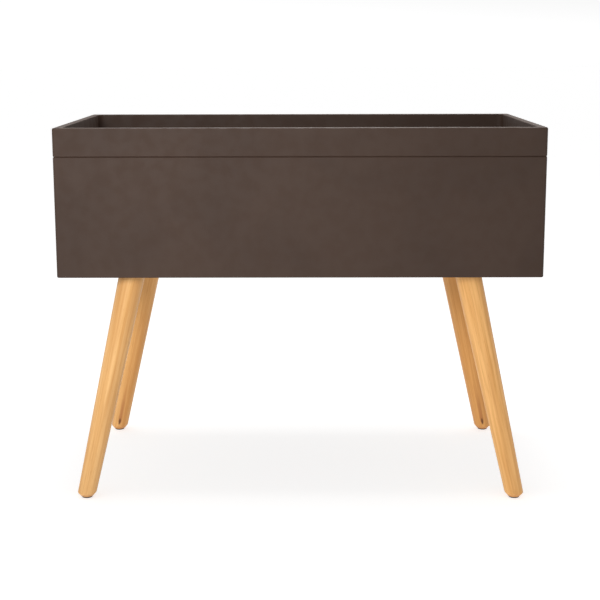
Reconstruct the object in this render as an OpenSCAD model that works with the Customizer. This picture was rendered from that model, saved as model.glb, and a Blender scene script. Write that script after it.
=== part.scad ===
// Raised trough planter on four splayed, tapered wooden legs.
// A lift-out liner hangs by its rim on the top edge of an outer casing, and the chamfered edges
// where the two meet make the groove that runs round the box. Each leg screws on a hanger bolt
// into an angled steel plate under the casing floor.
// Frame: origin on the ground below the middle of the box, +X along its length, +Y to the back,
// +Z up. All sizes are in millimetres.

/* [Box] */
// Outside length of the box
box_length = 600; // [420:10:1000]
// Outside depth of the box, front to back
box_depth = 300; // [240:10:500]
// Height of the casing, from its lower edge up to the groove
casing_height = 149; // [90:1:300]
// Height of the liner's outside band, from the groove up to the rim
band_height = 35; // [20:1:80]
// Radius of the four upright outside corners
corner_radius = 4; // [3.5:0.5:12]
// Chamfer on each of the two edges that form the groove
groove_chamfer = 1; // [0.4:0.1:1.4]
// Radius along the outer top edge of the rim
rim_edge_radius = 2; // [0.5:0.5:2.5]

/* [Casing] */
// Thickness of the casing wall and of the liner band that stands on it
wall = 3; // [2:0.5:3.5]
// Chamfer round the casing's lower outside edge
lower_chamfer = 0.8; // [0.2:0.1:1.5]
// Thickness of the casing floor
casing_floor = 4; // [3:0.5:8]
// Height of the recess under the casing floor
recess_depth = 20; // [18:1:40]
// Depth of the ribs under the casing floor
rib_depth = 6; // [2:1:9]
// Thickness of the ribs under the casing floor
rib_wall = 3; // [2:0.5:5]
// Distance from the middle to each of the two lengthwise ribs
long_rib_y = 36; // [25:1:60]
// Gap between the outermost crosswise ribs and the leg plates
rib_clearance = 8; // [2:1:20]

/* [Liner] */
// Width of the flat rim, from the outside of the band to the inside of the liner
rim_width = 10; // [8:0.5:20]
// Thickness of the liner's inner wall and of its rim
liner_wall = 3; // [2:0.5:4]
// Thickness of the liner floor
liner_floor = 3; // [2:0.5:6]
// Radius of the liner's upright inside corners
liner_corner_radius = 8; // [3:1:30]
// Space between the casing floor and the liner floor, where drained water collects
reservoir_gap = 12; // [11:1:40]
// Radius of the drain holes in the liner floor
liner_drain_r = 4; // [2:0.5:6]
// Distance from the box end to the outermost drain holes in the liner floor
liner_drain_inset = 68; // [40:1:120]
// Radius of the standoffs under the liner floor
standoff_r = 7; // [4:1:12]
// Distance from the box end to the outermost standoffs
standoff_inset_x = 100; // [60:1:150]
// Distance from the box front or back to the standoffs
standoff_inset_y = 90; // [70:1:95]
// Gap left under each standoff, because the liner hangs by its rim
standoff_clearance = 0.5; // [0.3:0.1:2]
// Length of each block that centres the liner in the casing
locator_length = 24; // [10:1:40]
// Distance from the box end to the blocks on the long sides
locator_inset = 150; // [40:5:180]
// Height of each block that centres the liner in the casing
locator_height = 20; // [10:1:40]
// Gap between each centring block and the casing wall
locator_clearance = 0.5; // [0.3:0.1:2]

/* [Legs] */
// Clear height from the ground to the casing's lower edge
leg_height = 286; // [150:1:500]
// Radius of the leg at its top end
leg_top_r = 16.5; // [13:0.5:20]
// Radius of the leg at the ground, before its foot is chamfered
leg_foot_r = 11.5; // [10:0.5:14]
// Distance from the box end to the leg's axis, at the casing's lower edge
leg_inset_x = 89; // [75:1:140]
// Distance from the box front or back to the leg's axis, at the casing's lower edge
leg_inset_y = 35; // [34:1:60]
// Outward lean of the leg along the length, in degrees
lean_x = 12.4; // [0:0.1:16]
// Outward lean of the leg along the depth, in degrees
lean_y = 5.4; // [0:0.1:12]
// Radius of the flat under the foot
foot_flat_r = 7.5; // [5:0.5:9]
// Height of the chamfer above that flat
foot_chamfer_height = 4.5; // [2:0.5:8]
// Chamfer of the leg's top end
leg_top_chamfer = 1; // [0.4:0.1:2]

/* [Fixings] */
// Side of the square leg plate
plate_size = 56; // [50:1:60]
// Thickness of the leg plate
plate_thickness = 2.5; // [2:0.5:4]
// Radius of the leg plate's corners
plate_corner_radius = 6; // [3:0.5:8]
// Distance between neighbouring screw holes in the leg plate
plate_hole_spacing = 42; // [38:1:44]
// Thinnest part of the wedge under the leg plate
wedge_min = 1; // [0.5:0.1:2]
// Radius of the hanger bolt
bolt_r = 4; // [3:0.5:5]
// Length of hanger bolt that goes into the leg
bolt_in_leg = 32; // [20:1:60]
// Radial gap between a screw or bolt and the thread it is in
thread_clearance = 0.05; // [0.02:0.01:0.1]
// Radius of a plate screw
screw_r = 2; // [1.5:0.25:2.5]
// Radius of a plate screw's countersunk head
screw_head_r = 3.8; // [3.5:0.1:4.4]
// Length of a plate screw
screw_length = 13; // [11:0.5:14]
// Gap between a screw and its hole in the plate
screw_clearance = 0.25; // [0.1:0.05:0.5]
// Radius of the screw bosses on the casing floor
screw_boss_r = 5; // [4:0.5:7]
// Plastic left above the tip of a plate screw
screw_cover = 2; // [1.5:0.5:4]
// Width of the flat left bare round a foot glide
glide_margin = 0.7; // [0.2:0.1:2]
// Thickness of a foot glide
glide_thickness = 1.5; // [1:0.5:4]
// Radius of a foot glide's pin
glide_pin_r = 2; // [1:0.5:3]
// Length of a foot glide's pin
glide_pin_length = 14; // [8:1:25]

/* [Drain plugs] */
// Radius of each drain hole in the casing floor
drain_hole_r = 10; // [6:0.5:12]
// Gap round a plug in its hole
plug_clearance = 0.1; // [0.05:0.05:0.3]
// Width of the plug's flange beyond the hole
plug_flange_overlap = 5; // [3:0.5:8]
// Thickness of the plug's flange
plug_flange_thickness = 3; // [2:0.5:4]
// Height of the finger tab under the plug
plug_tab_height = 6; // [3:0.5:8]
// Thickness of the finger tab under the plug
plug_tab_thickness = 4; // [2:0.5:6]

/* [Hidden] */
$fn = 64;

CORNERS = [["front_left", -1, -1], ["front_right", 1, -1], ["back_left", -1, 1], ["back_right", 1, 1]];
SIDES = [["left", -1], ["right", 1]];

// bite is how far a solid runs into its neighbour, or a cut past a face, and long_cut is longer than
// any wedge or bolt bore near a leg plate
bite = 1;
long_cut = 40;

// Heights above the ground, from the bottom up
floor_under_z = leg_height + recess_depth;
floor_top_z = floor_under_z + casing_floor;
liner_under_z = floor_top_z + reservoir_gap;
groove_z = leg_height + casing_height;
rim_z = groove_z + band_height;
plate_under_z = floor_under_z - plate_thickness;
plate_mid_z = floor_under_z - plate_thickness / 2;

// Leg geometry: tilt is the lean off the vertical, and the seat is the leg's top end
ground_x = box_length / 2 - leg_inset_x + leg_height * tan(lean_x);
ground_y = box_depth / 2 - leg_inset_y + leg_height * tan(lean_y);
tilt = atan(sqrt(pow(tan(lean_x), 2) + pow(tan(lean_y), 2)));
seat_z = plate_under_z - wedge_min - leg_top_r * sin(tilt);
leg_length = seat_z / cos(tilt);
plate_x = ground_x - seat_z * tan(lean_x);
plate_y = ground_y - seat_z * tan(lean_y);
bolt_end_gap = 0.3;
bolt_above_seat = (floor_under_z - bolt_end_gap - seat_z - bolt_r * sin(tilt)) / cos(tilt);
bolt_bore_spare = 1;

// Foot: its flat and its glide are centred below the axis at the top of the chamfer
foot_slope = (leg_foot_r - foot_flat_r) / foot_chamfer_height;
foot_x = ground_x - (glide_thickness + foot_chamfer_height) * tan(lean_x);
foot_y = ground_y - (glide_thickness + foot_chamfer_height) * tan(lean_y);
glide_r = foot_flat_r - glide_margin;

// Fixings
screw_tip_z = plate_under_z + screw_length;
screw_boss_top_z = screw_tip_z + screw_cover;
screw_hole_spare = 0.5;
screw_hole_top_z = screw_tip_z + screw_hole_spare;
countersink_gap = 0.1;
socket_r = 1.6;
socket_depth = 1.4;
glide_edge = 0.5;

// Repeated features: two crosswise ribs on each side of the middle one, a plug midway between them,
// and two rows each of standoffs and drain holes under the liner
cross_rib_pitch = (plate_x - plate_size / 2 - rib_clearance - rib_wall / 2) / 2;
plug_x = cross_rib_pitch * 1.5;
standoff_x = box_length / 2 - standoff_inset_x;
standoff_y = box_depth / 2 - standoff_inset_y;
liner_drain_pitch = (box_length / 2 - liner_drain_inset) / 2;
liner_drain_y = standoff_y / 2;
locator_x = box_length / 2 - locator_inset;
locator_top_gap = 2;
locator_top_z = groove_z - groove_chamfer - locator_top_gap;
liner_out_length = box_length - 2 * (rim_width - liner_wall);
liner_out_depth = box_depth - 2 * (rim_width - liner_wall);
rim_inner_radius = 1;
rim_overlap = 0.5;
colour_box = [0.34, 0.28, 0.25];
colour_wood = [0.93, 0.71, 0.45];
colour_zinc = [0.75, 0.76, 0.78];
colour_black = [0.12, 0.12, 0.12];

// ---- Helpers ----

// Rectangle about the origin with true round corners
module rounded_rect(length, depth, r) {
    square([length - 2 * r, depth], center = true);
    square([length, depth - 2 * r], center = true);
    for (x = [-1, 1], y = [-1, 1])
        translate([x * (length / 2 - r), y * (depth / 2 - r)]) circle(r);
}

// Carries a profile once round a rectangle with round corners. The profile's x is measured
// outward from the middle of the corner arc, and its y is the height.
module around(length, depth, r) {
    for (s = [0, 180]) rotate(s) {
        translate([0, depth / 2 - r, 0])
            rotate([90, 0, 90]) linear_extrude(length - 2 * r, center = true) children();
        translate([length / 2 - r, 0, 0])
            rotate([90, 0, 0]) linear_extrude(depth - 2 * r, center = true) children();
        translate([length / 2 - r, depth / 2 - r, 0]) rotate_extrude(angle = 90) children();
        translate([r - length / 2, depth / 2 - r, 0])
            rotate([0, 0, 90]) rotate_extrude(angle = 90) children();
    }
}

// Puts its children in a leg's own frame: origin where the axis meets the ground, +Z up the leg
module on_leg(c) {
    translate([c[1] * ground_x, c[2] * ground_y, 0])
        rotate([0, 0, atan2(-c[2] * tan(lean_y), -c[1] * tan(lean_x))])
            rotate([0, tilt, 0]) children();
}

// Puts its children at each of the four screw positions of a leg plate
module at_plate_screws(c) {
    for (x = [-1, 1], y = [-1, 1])
        translate([c[1] * plate_x + x * plate_hole_spacing / 2,
                   c[2] * plate_y + y * plate_hole_spacing / 2, 0]) children();
}

// ---- Box ----

// Section through the casing wall, with the lower edge and the groove edge chamfered
module casing_section() {
    polygon([
        [corner_radius - wall, leg_height],
        [corner_radius - lower_chamfer, leg_height],
        [corner_radius, leg_height + lower_chamfer],
        [corner_radius, groove_z - groove_chamfer],
        [corner_radius - groove_chamfer, groove_z],
        [corner_radius - wall, groove_z]
    ]);
}

// Shallow ribs that stiffen the underside of the casing floor
module floor_ribs() {
    inner_length = box_length - 2 * wall;
    inner_depth = box_depth - 2 * wall;
    for (y = [-long_rib_y, long_rib_y])
        translate([-inner_length / 2, y - rib_wall / 2, floor_under_z - rib_depth])
            cube([inner_length, rib_wall, rib_depth]);
    for (i = [-2 : 2])
        translate([i * cross_rib_pitch - rib_wall / 2, -inner_depth / 2, floor_under_z - rib_depth])
            cube([rib_wall, inner_depth, rib_depth]);
}

module casing() {
    color(colour_box) difference() {
        union() {
            around(box_length, box_depth, corner_radius) casing_section();
            translate([0, 0, floor_under_z]) linear_extrude(casing_floor)
                rounded_rect(box_length - wall, box_depth - wall, corner_radius - wall / 2);
            floor_ribs();
            for (c = CORNERS) at_plate_screws(c) translate([0, 0, floor_top_z - bite])
                cylinder(r = screw_boss_r, h = screw_boss_top_z - floor_top_z + bite);
        }
        for (c = CORNERS) at_plate_screws(c) translate([0, 0, floor_under_z - bite])
            cylinder(r = screw_r + thread_clearance, h = screw_hole_top_z - floor_under_z + bite);
        for (s = SIDES) translate([s[1] * plug_x, 0, floor_under_z - bite])
            cylinder(r = drain_hole_r, h = casing_floor + 2 * bite);
    }
}

// Section through the liner's band, with its groove edge chamfered and its top edge rounded
module band_section() {
    difference() {
        polygon([
            [corner_radius - wall, groove_z],
            [corner_radius - groove_chamfer, groove_z],
            [corner_radius, groove_z + groove_chamfer],
            [corner_radius, rim_z],
            [corner_radius - wall, rim_z]
        ]);
        translate([corner_radius - rim_edge_radius, rim_z - rim_edge_radius]) difference() {
            square(rim_edge_radius + bite);
            circle(rim_edge_radius);
        }
    }
}

// Section through the liner's inner wall, with its top inside edge rounded
module inner_wall_section() {
    inner = liner_corner_radius;
    difference() {
        translate([inner, liner_under_z]) square([liner_wall, rim_z - liner_under_z]);
        translate([inner + rim_inner_radius, rim_z - rim_inner_radius]) rotate(90) difference() {
            square(rim_inner_radius + bite);
            circle(rim_inner_radius);
        }
    }
}

// Flat rim that joins the band to the inner wall
module rim_plate() {
    inset = wall - rim_overlap;
    translate([0, 0, rim_z - liner_wall]) linear_extrude(liner_wall) difference() {
        rounded_rect(box_length - 2 * inset, box_depth - 2 * inset, corner_radius - inset);
        rounded_rect(liner_out_length - liner_wall, liner_out_depth - liner_wall,
                     liner_corner_radius + liner_wall / 2);
    }
}

// Blocks on the outside of the inner wall that centre the liner in the casing
module locators() {
    reach = rim_width - liner_wall - wall - locator_clearance + bite;
    for (s = [0, 180]) rotate(s) {
        for (x = [-locator_x, locator_x])
            translate([x - locator_length / 2, liner_out_depth / 2 - bite, locator_top_z - locator_height])
                cube([locator_length, reach, locator_height]);
        translate([liner_out_length / 2 - bite, -locator_length / 2, locator_top_z - locator_height])
            cube([reach, locator_length, locator_height]);
    }
}

module liner() {
    color(colour_box) difference() {
        union() {
            around(box_length, box_depth, corner_radius) band_section();
            rim_plate();
            around(liner_out_length, liner_out_depth, liner_corner_radius + liner_wall) inner_wall_section();
            translate([0, 0, liner_under_z]) linear_extrude(liner_floor)
                rounded_rect(liner_out_length - liner_wall, liner_out_depth - liner_wall,
                             liner_corner_radius + liner_wall / 2);
            locators();
            for (i = [-1 : 1], y = [-standoff_y, standoff_y])
                translate([i * standoff_x, y, floor_top_z + standoff_clearance])
                    cylinder(r = standoff_r, h = reservoir_gap - standoff_clearance + liner_floor / 2);
        }
        for (i = [-2 : 2], y = [-liner_drain_y, liner_drain_y])
            translate([i * liner_drain_pitch, y, liner_under_z - bite])
                cylinder(r = liner_drain_r, h = liner_floor + 2 * bite);
    }
}

// ---- Legs and their fixings ----

// Half of the leg's outline: a straight taper with a chamfered top
module leg_profile() {
    polygon([
        [0, 0],
        [leg_foot_r, 0],
        [leg_top_r, leg_length - leg_top_chamfer],
        [leg_top_r - leg_top_chamfer, leg_length],
        [0, leg_length]
    ]);
}

// Upright cone that trims the tilted leg to a level flat with a chamfer round it
module foot_cone(c) {
    translate([c[1] * foot_x, c[2] * foot_y, glide_thickness])
        cylinder(r1 = foot_flat_r, r2 = foot_flat_r + foot_slope * leg_length, h = leg_length);
}

module leg(c) {
    color(colour_wood) difference() {
        intersection() {
            on_leg(c) rotate_extrude() leg_profile();
            foot_cone(c);
        }
        on_leg(c) translate([0, 0, leg_length - bolt_in_leg - bolt_bore_spare])
            cylinder(r = bolt_r + thread_clearance, h = bolt_in_leg + bolt_bore_spare + bite);
        translate([c[1] * foot_x, c[2] * foot_y, 0])
            cylinder(r = glide_pin_r + thread_clearance, h = glide_thickness + glide_pin_length + bite);
    }
}

module leg_plate(c) {
    color(colour_zinc) difference() {
        union() {
            translate([c[1] * plate_x, c[2] * plate_y, plate_under_z]) linear_extrude(plate_thickness)
                rounded_rect(plate_size, plate_size, plate_corner_radius);
            intersection() {
                on_leg(c) translate([0, 0, leg_length])
                    cylinder(r = leg_top_r - leg_top_chamfer, h = long_cut);
                translate([c[1] * plate_x, c[2] * plate_y, plate_mid_z - long_cut / 2])
                    cube([4 * leg_top_r, 4 * leg_top_r, long_cut], center = true);
            }
        }
        on_leg(c) translate([0, 0, leg_length - bite]) cylinder(r = bolt_r + thread_clearance, h = long_cut);
        at_plate_screws(c) translate([0, 0, plate_under_z - bite]) {
            cylinder(r = screw_r + screw_clearance, h = plate_thickness + 2 * bite);
            cylinder(r1 = screw_head_r + countersink_gap + bite, r2 = screw_r + countersink_gap,
                     h = screw_head_r - screw_r + bite);
        }
    }
}

module hanger_bolt(c) {
    color(colour_zinc) on_leg(c) translate([0, 0, leg_length - bolt_in_leg])
        cylinder(r = bolt_r, h = bolt_in_leg + bolt_above_seat);
}

module plate_screws(c) {
    color(colour_zinc) at_plate_screws(c) translate([0, 0, plate_under_z]) difference() {
        union() {
            cylinder(r = screw_r, h = screw_length);
            cylinder(r1 = screw_head_r, r2 = screw_r, h = screw_head_r - screw_r);
        }
        translate([0, 0, -bite]) cylinder(r = socket_r, h = socket_depth + bite, $fn = 6);
    }
}

module foot_glide(c) {
    color(colour_black) translate([c[1] * foot_x, c[2] * foot_y, 0]) {
        rotate_extrude() polygon([
            [0, 0],
            [glide_r - glide_edge, 0],
            [glide_r, glide_edge],
            [glide_r, glide_thickness],
            [0, glide_thickness]
        ]);
        cylinder(r = glide_pin_r, h = glide_thickness + glide_pin_length);
    }
}

module drain_plug(s) {
    color(colour_black) translate([s[1] * plug_x, 0, floor_under_z]) {
        cylinder(r = drain_hole_r - plug_clearance, h = casing_floor);
        translate([0, 0, -plug_flange_thickness])
            cylinder(r = drain_hole_r + plug_flange_overlap, h = plug_flange_thickness);
        translate([-drain_hole_r, -plug_tab_thickness / 2, -plug_flange_thickness - plug_tab_height])
            cube([2 * drain_hole_r, plug_tab_thickness, plug_tab_height + bite]);
    }
}

casing();
liner();
for (c = CORNERS) {
    leg(c);
    leg_plate(c);
    hanger_bolt(c);
    plate_screws(c);
    foot_glide(c);
}
for (s = SIDES) {
    drain_plug(s);
}
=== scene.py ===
"""A raised trough planter on four splayed wooden legs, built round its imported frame.

The planter is a moulded casing that carries a lift-out liner. Each turned leg screws on a hanger
bolt into an angled steel plate under the casing floor. Two rubber plugs drain the space between
casing and liner. All lengths are metres, the origin is on the ground below the middle of the box,
+X runs along the length, +Y to the back and +Z up.
"""

import logging
import math
from dataclasses import dataclass, field
from enum import Enum

import bmesh
import bpy
import numpy as np
from mathutils import Euler, Matrix, Vector


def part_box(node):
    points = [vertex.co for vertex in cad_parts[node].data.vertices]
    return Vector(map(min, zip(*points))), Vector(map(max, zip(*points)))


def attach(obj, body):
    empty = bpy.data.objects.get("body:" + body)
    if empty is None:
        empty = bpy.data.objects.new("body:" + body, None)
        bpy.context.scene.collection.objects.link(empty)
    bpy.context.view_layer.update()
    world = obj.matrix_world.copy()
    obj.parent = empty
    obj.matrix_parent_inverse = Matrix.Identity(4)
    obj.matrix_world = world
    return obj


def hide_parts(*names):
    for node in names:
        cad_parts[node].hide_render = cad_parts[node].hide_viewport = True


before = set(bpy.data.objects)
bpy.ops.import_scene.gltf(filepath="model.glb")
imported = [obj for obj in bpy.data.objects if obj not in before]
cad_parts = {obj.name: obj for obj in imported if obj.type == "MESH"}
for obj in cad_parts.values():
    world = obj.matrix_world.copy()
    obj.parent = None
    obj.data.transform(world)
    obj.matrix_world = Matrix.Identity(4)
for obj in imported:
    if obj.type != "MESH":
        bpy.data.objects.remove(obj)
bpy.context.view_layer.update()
MM = 0.001
TAU = 2 * math.pi
TINY = 1e-6
BITE = 0.5 * MM
SENSOR_WIDTH = 36
Place = tuple[float, float]
Point = tuple[float, float, float]
Colour = tuple[float, float, float]
Rows = tuple[Place, ...]
Socket = bpy.types.NodeSocket
Material = bpy.types.Material
log = logging.getLogger("planter")


class Body(Enum):
    """The bodies that pieces ride on."""

    STAND = "stand"
    LINER = "liner"
    PLUG_LEFT = "drain_plug_left"
    PLUG_RIGHT = "drain_plug_right"


class Slot(Enum):
    """The record's material slots."""

    BOX = "box_brown"
    WOOD = "leg_wood"
    ZINC = "plate_zinc"
    GLIDE = "glide_black"
    PLUG = "plug_rubber"


class Corner(Enum):
    """The four corners of the stand, as the signs of x and y."""

    FRONT_LEFT = (-1, -1)
    FRONT_RIGHT = (1, -1)
    BACK_LEFT = (-1, 1)
    BACK_RIGHT = (1, 1)

    @property
    def label(self) -> str:
        """The corner's name as the nodes write it."""
        return self.name.lower()


class Side(Enum):
    """The two drain plugs, as the sign of x."""

    LEFT = -1
    RIGHT = 1

    @property
    def label(self) -> str:
        """The side's name as the nodes write it."""
        return self.name.lower()


# ---------------------------------------------------------------- surfaces


def whole_turn(columns: int) -> np.ndarray:
    """Gives the angles of one turn, evenly spaced."""
    return np.arange(columns) * TAU / columns


def directions(angle: np.ndarray) -> np.ndarray:
    """Gives (cos, sin) of each angle as (n, 2)."""
    return np.stack([np.cos(angle), np.sin(angle)], axis=1)


def angles_about(points: np.ndarray, centre: Place) -> np.ndarray:
    """Gives the angle at which each point lies about a place."""
    offset = points[:, :2] - np.array(centre)
    return np.arctan2(offset[:, 1], offset[:, 0])


def at_height(points: np.ndarray, height: float) -> np.ndarray:
    """Lifts flat points to one height."""
    return np.column_stack([points, np.full(len(points), height)])


@dataclass
class Surface:
    """Points in metres, with faces of four points each, some of which may lie in one place."""

    points: np.ndarray
    faces: np.ndarray

    @staticmethod
    def grid(rows: np.ndarray, wrap: bool = True) -> "Surface":
        """Makes quads between neighbouring rows of points.

        Args:
            rows: points as (rows, columns, 3).
            wrap: whether the last column joins the first.

        Returns:
            The surface; rows that shrink to a pole close when doubles are merged.
        """
        count, across = rows.shape[:2]
        index = np.arange(count * across).reshape(count, across)
        beside = np.roll(index, -1, axis=1)
        if not wrap:
            index, beside = index[:, :-1], beside[:, :-1]
        quads = np.stack([index[:-1], beside[:-1], beside[1:], index[1:]], axis=-1)
        return Surface(rows.reshape(-1, 3), quads.reshape(-1, 4))

    @staticmethod
    def joined(parts: list["Surface"]) -> "Surface":
        """Puts several surfaces in one, with their faces renumbered.

        Args:
            parts: the surfaces.

        Returns:
            One surface with all of their points and faces.
        """
        starts = np.cumsum([0] + [len(p.points) for p in parts[:-1]])
        faces = [p.faces + s for p, s in zip(parts, starts)]
        return Surface(np.concatenate([p.points for p in parts]), np.concatenate(faces))


def bend(outline: list[Point], steps: int = 5, hold: float = 0.4 * MM) -> np.ndarray:
    """Rounds the corners of an open outline.

    Each corner is swapped for an arc tangent to both of its edges, at points
    centre + radius * direction, where the direction turns evenly from one tangent point to the
    other. A point is added just before and just after the arc, so that shading stays flat beyond it.

    Args:
        outline: (across, height, radius) per corner; a radius of 0 keeps the corner sharp.
        steps: how many segments each arc has.
        hold: how far from the arc the two extra points lie.

    Returns:
        The outline's points as (n, 2).
    """
    straight = 1e-4
    knots = np.array([p[:2] for p in outline], float)
    made = [knots[:1]]
    for i in range(1, len(outline) - 1):
        radius = outline[i][2]
        back, ahead = knots[i - 1] - knots[i], knots[i + 1] - knots[i]
        spans = np.linalg.norm([back, ahead], axis=1)
        back, ahead = back / spans[0], ahead / spans[1]
        half = math.acos(float(np.clip(back @ ahead, -1, 1))) / 2
        if radius <= 0 or half > math.pi / 2 - straight:
            made.append(knots[i : i + 1])
            continue
        reach = radius / math.tan(half)
        middle = (back + ahead) / np.linalg.norm(back + ahead)
        centre = knots[i] + middle * radius / math.sin(half)
        turn = math.pi / 2 - half
        angle = np.linspace(-turn, turn, steps + 1)[:, None]
        side = back - (back @ middle) * middle
        side /= np.linalg.norm(side)
        arc = centre - radius * (middle * np.cos(angle) + side * np.sin(angle))
        tangent = knots[i] + back * reach
        if np.linalg.norm(arc[0] - tangent) > np.linalg.norm(arc[-1] - tangent):
            arc = arc[::-1]
        if spans[0] > reach + 2 * hold:
            made.append((knots[i] + back * (reach + hold))[None])
        made.append(arc)
        if spans[1] > reach + 2 * hold:
            made.append((knots[i] + ahead * (reach + hold))[None])
    made.append(knots[-1:])
    return np.concatenate(made)


def around_box(
    half: Place,
    profile: np.ndarray,
    radii: np.ndarray,
    runs: tuple[np.ndarray, np.ndarray],
    arc_steps: int = 8,
) -> np.ndarray:
    """Carries a profile once round a rectangle with round corners.

    Each row of the grid is one rounded rectangle: its straight runs are share * (half - radius) along
    each side, and its corner points are (half - radius) + radius * (cos, sin) over a quarter turn.

    Args:
        half: half of the outer length and depth.
        profile: (inset from the outer size, height) per row.
        radii: the corner radius of each row.
        runs: the shares from -1 to 1 at which the long and the short sides have points.
        arc_steps: how many segments each corner has.

    Returns:
        The grid of points as (rows, columns, 3).
    """
    quarter = np.linspace(0, math.pi / 2, arc_steps + 1)
    corners = np.array([[1, 1], [-1, 1], [-1, -1], [1, -1]], float)
    signs, places = [], []
    for turn in range(4):
        share = runs[turn % 2][1:-1]
        along = (1 - share[::-1] if turn < 2 else 1 + share)[:, None] / 2
        signs += [np.tile(corners[turn], (len(quarter), 1))]
        signs += [corners[turn] * (1 - along) + corners[(turn + 1) % 4] * along]
        places += [directions(quarter + turn * math.pi / 2)]
        places += [np.tile(places[-1][-1], (len(share), 1))]
    signs, places = np.concatenate(signs), np.concatenate(places)
    size = np.array(half)[None, :] - profile[:, :1] - radii[:, None]
    flat = size[:, None, :] * signs[None] + radii[:, None, None] * places[None]
    height = np.broadcast_to(profile[:, None, 1:2], flat.shape[:2] + (1,))
    return np.concatenate([flat, height], axis=2)


def ring(centre: Place, radius: float, height: float, angle: np.ndarray) -> np.ndarray:
    """Points centre + radius * (cos, sin) at one height, one for each angle."""
    return np.array([*centre, height]) + radius * at_height(directions(angle), 0)


def revolve(profile: np.ndarray, centre: Place, columns: int = 64) -> Surface:
    """Turns a profile of (radius, height) points once about an upright axis."""
    angle = whole_turn(columns)
    return Surface.grid(np.stack([ring(centre, r, z, angle) for r, z in profile]))


def block(low: np.ndarray, high: np.ndarray, edge: float = 0.6 * MM, arc_steps: int = 4) -> Surface:
    """Makes a closed bar with all of its edges rounded.

    Rows run from a point under the middle, out over the bottom edge's quarter circle, up, and in
    over the top edge's to a point again. Each row is a rounded rectangle.

    Args:
        low: the lowest corner.
        high: the highest corner.
        edge: the radius of the edges.
        arc_steps: how many segments each rounded edge has.

    Returns:
        The closed surface.
    """
    half, middle = (high - low) / 2, (high + low) / 2
    inner = min(half[:2]) - TINY
    outline = [(inner, -half[2], 0), (0, -half[2], edge), (0, half[2], edge), (inner, half[2], 0)]
    profile = bend(outline, arc_steps, hold=0.1 * MM)
    radii = np.clip(edge - profile[:, 0], TINY, edge)
    ends = np.array([-1.0, 1.0])
    rows = around_box((half[0], half[1]), profile, radii, (ends, ends), arc_steps)
    lids = [row.mean(axis=1, keepdims=True) + 0 * row for row in (rows[:1], rows[-1:])]
    return Surface.grid(np.concatenate([lids[0], rows, lids[1]]) + middle)


def lines(limit: float, bands: list[Place], steps: int = 8, spacing: float = 30 * MM) -> np.ndarray:
    """Makes the lines of a sheet in one direction: evenly over each feature's width, coarser between.

    Args:
        limit: half of the sheet's size.
        bands: the middle and half of the width of each row of features.
        steps: how many cells each such width is cut into.
        spacing: the most that two lines between features are apart.

    Returns:
        The lines' places, in order.
    """
    digits = 7
    bands = sorted({(round(middle, digits), half) for middle, half in bands})
    stops = [-limit, *(middle + side * half for middle, half in bands for side in (-1, 1)), limit]
    made = []
    for i, (a, b) in enumerate(zip(stops[:-1], stops[1:])):
        count = steps if i % 2 else max(1, math.ceil((b - a) / spacing))
        made.append(np.linspace(a, b, count + 1)[:-1])
    return np.concatenate([*made, [limit]])


@dataclass(frozen=True)
class Feature:
    """Something round in a flat floor: a hole, a boss or a foot.

    It takes up a square of the sheet, `half` to each side. Its `rows` are (radius, height) points from
    the floor's surface inwards. With `through` they go on to the other surface, and otherwise they
    end at a pole.
    """

    place: Place
    half: float
    rows: Rows = ()
    through: bool = False


@dataclass
class Sheet:
    """A flat rectangle at two heights, cut by the same lines, in which features are set."""

    xs: np.ndarray
    ys: np.ndarray

    @property
    def shares(self) -> tuple[np.ndarray, np.ndarray]:
        """The sheet's lines as shares from -1 to 1 of its half size."""
        return self.xs / self.xs[-1], self.ys / self.ys[-1]

    def edge(self, feature: Feature) -> np.ndarray:
        """Walks once round the square of cells about a feature, as (n, 2) points.

        Args:
            feature: what the square surrounds.

        Returns:
            The square's points, anticlockwise from its front left corner.
        """
        xs = self.xs[np.abs(self.xs - feature.place[0]) < feature.half + TINY]
        ys = self.ys[np.abs(self.ys - feature.place[1]) < feature.half + TINY]
        still_x, still_y = np.ones(len(ys) - 1), np.ones(len(xs) - 1)
        x = [xs[:-1], xs[-1] * still_x, xs[:0:-1], xs[0] * still_x]
        y = [ys[0] * still_y, ys[:-1], ys[-1] * still_y, ys[:0:-1]]
        return np.column_stack([np.concatenate(x), np.concatenate(y)])

    def plain(self, height: float, features: list[Feature]) -> Surface:
        """Makes the sheet's cells at one height, leaving out those under the features.

        Args:
            height: the height that the cells lie at.
            features: what the sheet makes room for.

        Returns:
            The cells that are left.
        """
        x, y = np.meshgrid(self.xs, self.ys)
        made = Surface.grid(np.stack([x, y, np.full_like(x, height)], axis=2), wrap=False)
        middle = made.points[made.faces].mean(axis=1)
        keep = np.ones(len(made.faces), bool)
        for feature in features:
            away = np.abs(middle[:, :2] - np.array(feature.place)).max(axis=1)
            keep &= away > feature.half
        return Surface(made.points, made.faces[keep])

    def collar(self, feature: Feature, start: float, end: float) -> Surface:
        """Fills the square about a feature, from the sheet at one height to the feature's rows.

        Args:
            feature: the hole, boss or foot.
            start: the height of the sheet that the square belongs to.
            end: the height of the other sheet, which a through feature ends at.

        Returns:
            The surface that closes the square.
        """
        square = self.edge(feature)
        angle = angles_about(square, feature.place)
        rows = [at_height(square, start)]
        rows += [ring(feature.place, r, z, angle) for r, z in feature.rows]
        if feature.through:
            rows.append(at_height(square, end))
        return Surface.grid(np.stack(rows))


def as_rows(outline: list[Point], steps: int = 4) -> Rows:
    """Rounds an outline finely and gives it as a feature's rows."""
    return tuple(map(tuple, bend(outline, steps, hold=0.1 * MM)))


def hole_rows(radius: float, top: float, under: float, lip: float) -> Rows:
    """Gives the rows of a through hole whose two lips are rounded."""
    wide = radius + 2 * lip
    return as_rows([(wide, top, 0), (radius, top, lip), (radius, under, lip), (wide, under, 0)])


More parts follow.
